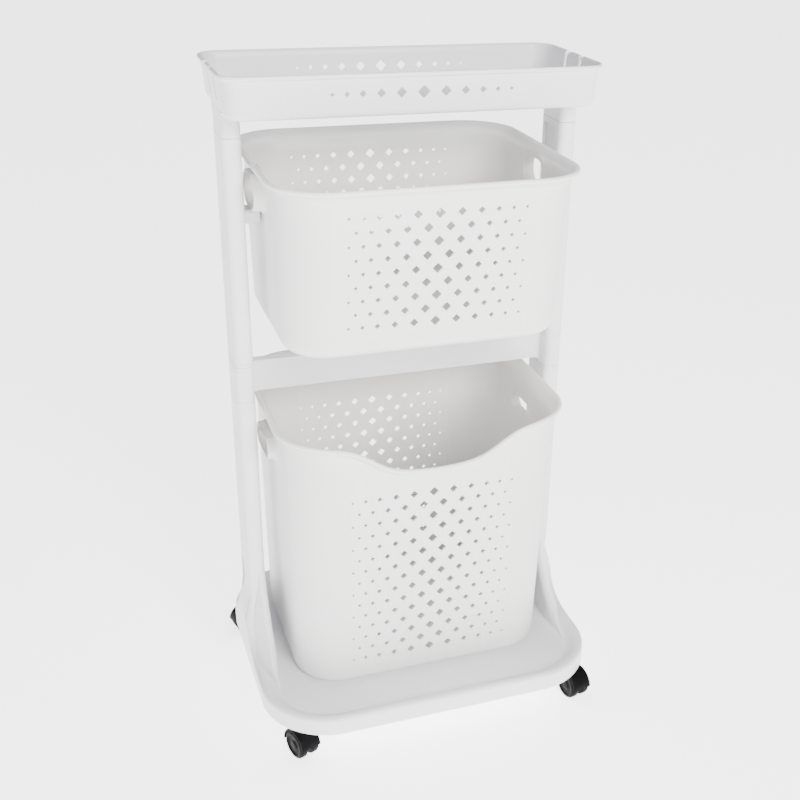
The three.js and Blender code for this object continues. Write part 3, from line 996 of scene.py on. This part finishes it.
def plastic(name, colour, roughness, glow, seed):
    """Moulded plastic: cloudy colour, paler convex edges, uneven gloss, fine grain and slow waves."""
    g = Graph(name)
    clouds = g.noise(9.0, 4.0, 0.55, offset=(seed, seed * 0.7, 0))
    cloudy = g.remap(clouds, 0.3, 0.7, 0.0, 1.0)
    tone = g.mix_colour(cloudy, shade_of(colour, 0.975), shade_of(colour, 1.012))
    geometry = g.add("ShaderNodeNewGeometry")
    # Paler colour on sharp convex edges, picked out by pointiness.
    paler_edges = g.remap(geometry.outputs["Pointiness"], 0.505, 0.56, 0.0, 0.55)
    tone = g.mix_colour(paler_edges, tone, shade_of(colour, 1.06))
    dust = g.noise(140.0, 2.0, 0.6, offset=(0, seed, 3.0))
    tone = g.mix_colour(g.remap(dust, 0.66, 0.8, 0.0, 0.1), tone, shade_of(colour, 0.86))
    g.link(tone, g.shader.inputs["Base Color"])
    patches = g.noise(26.0, 3.0, 0.6, offset=(seed, 0, seed))
    streaks = g.noise(60.0, 2.0, 0.5, stretch=(1.0, 1.0, 0.12), offset=(seed, 2.0, 0))
    uneven = g.add("ShaderNodeMath")
    uneven.operation = "ADD"
    g.link(g.remap(patches, 0.3, 0.7, roughness - 0.05, roughness + 0.05), uneven.inputs[0])
    g.link(g.remap(streaks, 0.35, 0.65, -0.02, 0.03), uneven.inputs[1])
    g.link(uneven.outputs[0], g.shader.inputs["Roughness"])
    waves = g.bump(g.noise(14.0, 1.0, 0.4, offset=(seed, seed, 0)), 0.12, 0.0008)
    fine = g.bump(g.noise(2600.0, 2.0, 0.6), 0.05, 0.00012, waves)
    g.link(fine, g.shader.inputs["Normal"])
    g.shader.inputs["IOR"].default_value = 1.49
    g.shader.inputs["Subsurface Weight"].default_value = glow
    g.shader.inputs["Subsurface Radius"].default_value = (1.0, 0.95, 0.9)
    g.shader.inputs["Subsurface Scale"].default_value = 0.003
    return g.material


def rubbed_plastic(name, colour, roughness):
    """Black plastic with scuffs that run round the tread and a little grey dust."""
    g = Graph(name)
    scuffs = g.noise(420.0, 4.0, 0.7, stretch=(1.0, 1.0, 0.4))
    tone = g.mix_colour(g.remap(scuffs, 0.55, 0.75, 0.0, 0.5), shade_of(colour, 1.0), shade_of(colour, 2.2))
    geometry = g.add("ShaderNodeNewGeometry")
    paler_edges = g.remap(geometry.outputs["Pointiness"], 0.51, 0.6, 0.0, 0.5)
    tone = g.mix_colour(paler_edges, tone, shade_of(colour, 2.8))
    g.link(tone, g.shader.inputs["Base Color"])
    uneven = g.remap(g.noise(160.0, 3.0, 0.6), 0.3, 0.7, roughness - 0.08, roughness + 0.1)
    g.link(uneven, g.shader.inputs["Roughness"])
    g.link(g.bump(g.noise(1800.0, 2.0, 0.6), 0.12, 0.00015), g.shader.inputs["Normal"])
    g.shader.inputs["IOR"].default_value = 1.35
    g.shader.inputs["Specular IOR Level"].default_value = 0.1
    return g.material


def plated_steel(name):
    """Bright brushed metal."""
    g = Graph(name)
    brushed = g.noise(900.0, 3.0, 0.6, stretch=(1.0, 1.0, 0.05))
    tone = g.mix_colour(brushed, (0.52, 0.53, 0.55, 1.0), (0.72, 0.73, 0.75, 1.0))
    g.link(tone, g.shader.inputs["Base Color"])
    g.shader.inputs["Metallic"].default_value = 1.0
    g.link(g.remap(brushed, 0.3, 0.7, 0.22, 0.4), g.shader.inputs["Roughness"])
    g.link(g.bump(brushed, 0.1, 0.0001), g.shader.inputs["Normal"])
    return g.material


FRAME_COLOUR = (0.80, 0.80, 0.825)
BASKET_COLOUR = (0.845, 0.832, 0.812)
frame_white = {
    part: plastic(f"frame_white_{part}", FRAME_COLOUR, 0.36, 0.12, seed)
    for part, seed in (("base", 1.3), ("posts", 4.1), ("rail", 7.7), ("tray", 9.2))
}
basket_white = {
    part: plastic(f"basket_white_{part}", BASKET_COLOUR, 0.40, 0.16, seed)
    for part, seed in (("middle", 2.4), ("lower", 6.2))
}
hood_black = rubbed_plastic("hood_black_moulded", (0.0035, 0.0035, 0.0038), 0.38)
wheel_black = rubbed_plastic("wheel_black_moulded", (0.003, 0.003, 0.0033), 0.46)
steel = plated_steel("caster_steel")


def dress(obj, material, slot, body, *nodes):
    """Finish a piece: its material, the CAD body it moves with and the nodes it stands for; the slot
    argument is not used.
    """
    obj.data.materials.clear()
    obj.data.materials.append(material)
    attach(obj, body)
    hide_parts(*nodes)
    return obj


# ---------------------------------------------------------------- assembly
dress(build_base(), frame_white["base"], "frame_white", "stand", "base_tray")
for post_side, post_label in ((-1, "left"), (1, "right")):
    dress(build_lower_post(post_side, post_label), frame_white["posts"], "frame_white", "stand",
          f"lower_post_{post_label}")
    dress(build_upper_post(post_side, post_label), frame_white["posts"], "frame_white", "stand",
          f"upper_post_{post_label}")
dress(build_middle_rail(), frame_white["rail"], "frame_white", "stand", "middle_rail")
dress(build_tray(), frame_white["tray"], "frame_white", "stand", "top_tray")
dress(build_basket(MIDDLE), basket_white["middle"], "basket_white", "middle_basket", "middle_basket")
dress(build_basket(LOWER), basket_white["lower"], "basket_white", "lower_basket", "lower_basket")

for corner, caster_place in CASTERS.items():
    dress(place_caster(hood_mesh(f"moulded_{corner}_hood"), caster_place), hood_black, "hood_black",
          f"{corner}_caster", f"{corner}_caster_hood")
    for wheel_side, wheel_label in ((-1, "a"), (1, "b")):
        wheel = place_caster(wheel_mesh(f"moulded_{corner}_wheel_{wheel_label}", wheel_side), caster_place)
        dress(wheel, wheel_black, "wheel_black", f"{corner}_wheel_{wheel_label}",
              f"{corner}_caster_wheel_{wheel_label}")
    for node_name in (f"{corner}_caster_stem", f"{corner}_caster_axle"):
        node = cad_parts[node_name]
        node.data.materials.clear()
        node.data.materials.append(steel)


# ---------------------------------------------------------------- floor, light and camera
def build_floor():
    mesh = bpy.data.meshes.new("floor")
    mesh.from_pydata([(-12, -12, 0), (12, -12, 0), (12, 12, 0), (-12, 12, 0)], [], [(0, 1, 2, 3)])
    floor = bpy.data.objects.new("floor", mesh)
    bpy.context.scene.collection.objects.link(floor)
    g = Graph("pale_floor")
    g.link(g.mix_colour(g.noise(2.0, 2.0), (0.86, 0.86, 0.865, 1), (0.875, 0.875, 0.88, 1)),
           g.shader.inputs["Base Color"])
    g.shader.inputs["Roughness"].default_value = 0.7
    g.shader.inputs["Emission Color"].default_value = (1.0, 1.0, 1.0, 1.0)
    g.shader.inputs["Emission Strength"].default_value = 3.2
    mesh.materials.append(g.material)


def area_light(name, position, target, size, energy, colour=(1, 1, 1)):
    data = bpy.data.lights.new(name, "AREA")
    data.shape = "RECTANGLE"
    data.size, data.size_y = size
    data.energy = energy
    data.color = colour
    light = bpy.data.objects.new(name, data)
    bpy.context.scene.collection.objects.link(light)
    light.location = position
    light.rotation_euler = (Vector(target) - Vector(position)).to_track_quat("-Z", "Y").to_euler()


def build_world():
    world = bpy.data.worlds.new("studio")
    world.use_nodes = True
    background = world.node_tree.nodes["Background"]
    background.inputs["Color"].default_value = (0.95, 0.96, 1.0, 1.0)
    background.inputs["Strength"].default_value = 0.42
    bpy.context.scene.world = world


def build_camera():
    """View from above the front left, with the lens a little shifted."""
    yaw, pitch, roll = math.radians(21.03), math.radians(26.19), math.radians(1.926)
    forward = Vector((math.sin(yaw) * math.cos(pitch), math.cos(yaw) * math.cos(pitch), -math.sin(pitch)))
    right = Vector((math.cos(yaw), -math.sin(yaw), 0.0))
    upward = right.cross(forward)
    right, upward = (
        right * math.cos(roll) + upward * math.sin(roll),
        upward * math.cos(roll) - right * math.sin(roll),
    )
    data = bpy.data.cameras.new("camera")
    data.sensor_width = 36.0
    data.lens = 52.22
    data.shift_x = -0.0837
    data.shift_y = 0.0239
    data.clip_end = 100.0
    camera = bpy.data.objects.new("camera", data)
    bpy.context.scene.collection.objects.link(camera)
    turn = Matrix((right, upward, -forward)).transposed().to_4x4()
    camera.matrix_world = Matrix.Translation((-0.43903, -1.37375, 1.11316)) @ turn
    bpy.context.scene.camera = camera


build_floor()
build_world()
area_light("key", (0.45, -2.9, 1.9), (0, 0, 0.5), (1.2, 1.2), 175.0, (1.0, 0.99, 0.97))
area_light("fill", (-2.3, -1.6, 1.2), (0, 0, 0.45), (1.6, 2.0), 20.0, (0.95, 0.96, 1.0))
area_light("top", (-0.2, 0.5, 3.0), (0, 0, 0.4), (1.8, 1.8), 22.0)
build_camera()
